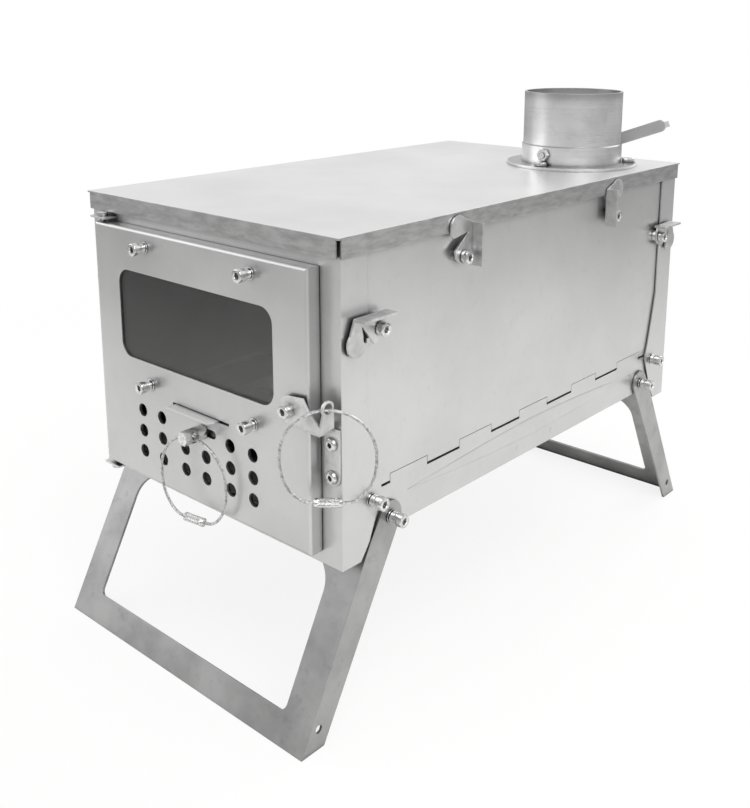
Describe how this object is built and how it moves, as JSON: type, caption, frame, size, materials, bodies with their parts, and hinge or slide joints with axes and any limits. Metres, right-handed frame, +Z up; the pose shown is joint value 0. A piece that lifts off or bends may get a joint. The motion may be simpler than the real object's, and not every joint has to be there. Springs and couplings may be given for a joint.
{
  "type": "folding tent wood stove",
  "caption": "Flat-folding sheet metal wood stove on two swing-out legs, with a glazed door, air slider, lift-off lid, flue collar and damper.",
  "frame": {"origin": "on the ground, below the middle of the stove", "axes": "+Z up; -Y towards the door; +X to the right of someone who faces the door"},
  "size_m": [0.2222, 0.392, 0.3022],
  "materials": {
    "titanium_sheet": "fine pickled and lightly brushed titanium sheet",
    "spun_titanium": "spun titanium",
    "stainless_steel": "bright turned stainless steel",
    "wire_rope": "braided stainless wire rope",
    "tinted_glass": "clear heat-resistant glass that reads dark"
  },
  "bodies": {
    "firebox": {"bottom_pan": "titanium_sheet", "side_panel_right": "titanium_sheet", "side_panel_left": "titanium_sheet", "front_panel": "titanium_sheet", "rear_panel": "titanium_sheet", "hinge_rod_right": "stainless_steel", "hinge_rod_left": "stainless_steel", "fire_grate": "titanium_sheet", "latch_keeper": "titanium_sheet", "keeper_screws": "stainless_steel", "panel_pivot_screws": "stainless_steel", "leg_pivot_screws": "stainless_steel", "catch_screws": "stainless_steel", "catch_spacers": "stainless_steel", "door_hinge_pins": "stainless_steel"},
    "lid": {"lid_plate": "titanium_sheet", "flue_collar": "spun_titanium", "flue_bolts": "stainless_steel", "flue_nuts": "stainless_steel"},
    "damper": {"damper_disc": "titanium_sheet", "damper_spindle": "stainless_steel", "damper_handle": "titanium_sheet", "damper_nut": "stainless_steel"},
    "door": {"door_panel": "titanium_sheet", "window_glass": "tinted_glass", "glass_strip_upper": "titanium_sheet", "glass_strip_lower": "titanium_sheet", "window_screws": "stainless_steel", "window_nuts": "stainless_steel", "slider_guide": "titanium_sheet", "latch_pivot_screw": "stainless_steel"},
    "air_slider": {"slider_plate": "titanium_sheet", "slider_knob": "stainless_steel"},
    "slider_loop": {"slider_loop_wire": "wire_rope", "slider_loop_barrel": "stainless_steel"},
    "latch": {"latch_lever": "titanium_sheet"},
    "latch_loop": {"latch_loop_wire": "wire_rope", "latch_loop_barrel": "stainless_steel"},
    "front_leg": {"front_leg": "titanium_sheet"},
    "rear_leg": {"rear_leg": "titanium_sheet"},
    "end_catch_front_right": {"end_catch_front_right": "titanium_sheet"},
    "end_catch_front_left": {"end_catch_front_left": "titanium_sheet"},
    "end_catch_rear_right": {"end_catch_rear_right": "titanium_sheet"},
    "end_catch_rear_left": {"end_catch_rear_left": "titanium_sheet"},
    "lid_catch_front_right": {"lid_catch_front_right": "titanium_sheet"},
    "lid_catch_front_left": {"lid_catch_front_left": "titanium_sheet"},
    "lid_catch_rear_right": {"lid_catch_rear_right": "titanium_sheet"},
    "lid_catch_rear_left": {"lid_catch_rear_left": "titanium_sheet"}
  },
  "joints": [
    {"name": "lid_lift", "type": "slide", "parent": "firebox", "child": "lid", "axis": [0, 0, 1], "range_m": [0, 0.07]},
    {"name": "damper_turn", "type": "hinge", "parent": "lid", "child": "damper", "pos_m": [0.046, 0.116, 0.2622], "axis": [0, -1, 0], "range_deg": [-20, 70]},
    {"name": "door_swing", "type": "hinge", "parent": "firebox", "child": "door", "pos_m": [-0.0825, -0.1707, 0.166], "axis": [0, 0, -1], "range_deg": [0, 110]},
    {"name": "air_slide", "type": "slide", "parent": "door", "child": "air_slider", "axis": [1, 0, 0], "range_m": [-0.0025, 0.0075]},
    {"name": "latch_lift", "type": "hinge", "parent": "door", "child": "latch", "pos_m": [0.075, -0.1763, 0.168], "axis": [0, -1, 0], "range_deg": [0, 20]},
    {"name": "slider_loop_swing", "type": "hinge", "parent": "air_slider", "child": "slider_loop", "pos_m": [0.006, -0.1826, 0.137], "axis": [-0.9836, 0.1805, 0], "range_deg": [0, 40]},
    {"name": "latch_loop_swing", "type": "hinge", "parent": "latch", "child": "latch_loop", "pos_m": [0.0959, -0.1724, 0.1728], "axis": [-0.7431, -0.6691, 0], "range_deg": [0, 40]},
    {"name": "end_catch_front_right_turn", "type": "hinge", "parent": "firebox", "child": "end_catch_front_right", "pos_m": [0.1003, -0.142, 0.206], "axis": [-1, 0, 0], "range_deg": [0, 90]},
    {"name": "end_catch_front_left_turn", "type": "hinge", "parent": "firebox", "child": "end_catch_front_left", "pos_m": [-0.1003, -0.142, 0.206], "axis": [-1, 0, 0], "range_deg": [0, 90]},
    {"name": "end_catch_rear_right_turn", "type": "hinge", "parent": "firebox", "child": "end_catch_rear_right", "pos_m": [0.1003, 0.142, 0.206], "axis": [1, 0, 0], "range_deg": [0, 90]},
    {"name": "end_catch_rear_left_turn", "type": "hinge", "parent": "firebox", "child": "end_catch_rear_left", "pos_m": [-0.1003, 0.142, 0.206], "axis": [1, 0, 0], "range_deg": [0, 90]},
    {"name": "lid_catch_front_right_turn", "type": "hinge", "parent": "firebox", "child": "lid_catch_front_right", "pos_m": [0.1003, -0.077, 0.2297], "axis": [-1, 0, 0], "range_deg": [0, 90]},
    {"name": "lid_catch_front_left_turn", "type": "hinge", "parent": "firebox", "child": "lid_catch_front_left", "pos_m": [-0.1003, -0.077, 0.2297], "axis": [-1, 0, 0], "range_deg": [0, 90]},
    {"name": "lid_catch_rear_right_turn", "type": "hinge", "parent": "firebox", "child": "lid_catch_rear_right", "pos_m": [0.1003, 0.077, 0.2297], "axis": [1, 0, 0], "range_deg": [0, 90]},
    {"name": "lid_catch_rear_left_turn", "type": "hinge", "parent": "firebox", "child": "lid_catch_rear_left", "pos_m": [-0.1003, 0.077, 0.2297], "axis": [1, 0, 0], "range_deg": [0, 90]},
    {"name": "front_leg_fold", "type": "hinge", "parent": "firebox", "child": "front_leg", "pos_m": [0, -0.131, 0.104], "axis": [1, 0, 0], "range_deg": [0, 117.6]},
    {"name": "rear_leg_fold", "type": "hinge", "parent": "firebox", "child": "rear_leg", "pos_m": [0, 0.131, 0.104], "axis": [-1, 0, 0], "range_deg": [0, 117.6]}
  ]
}
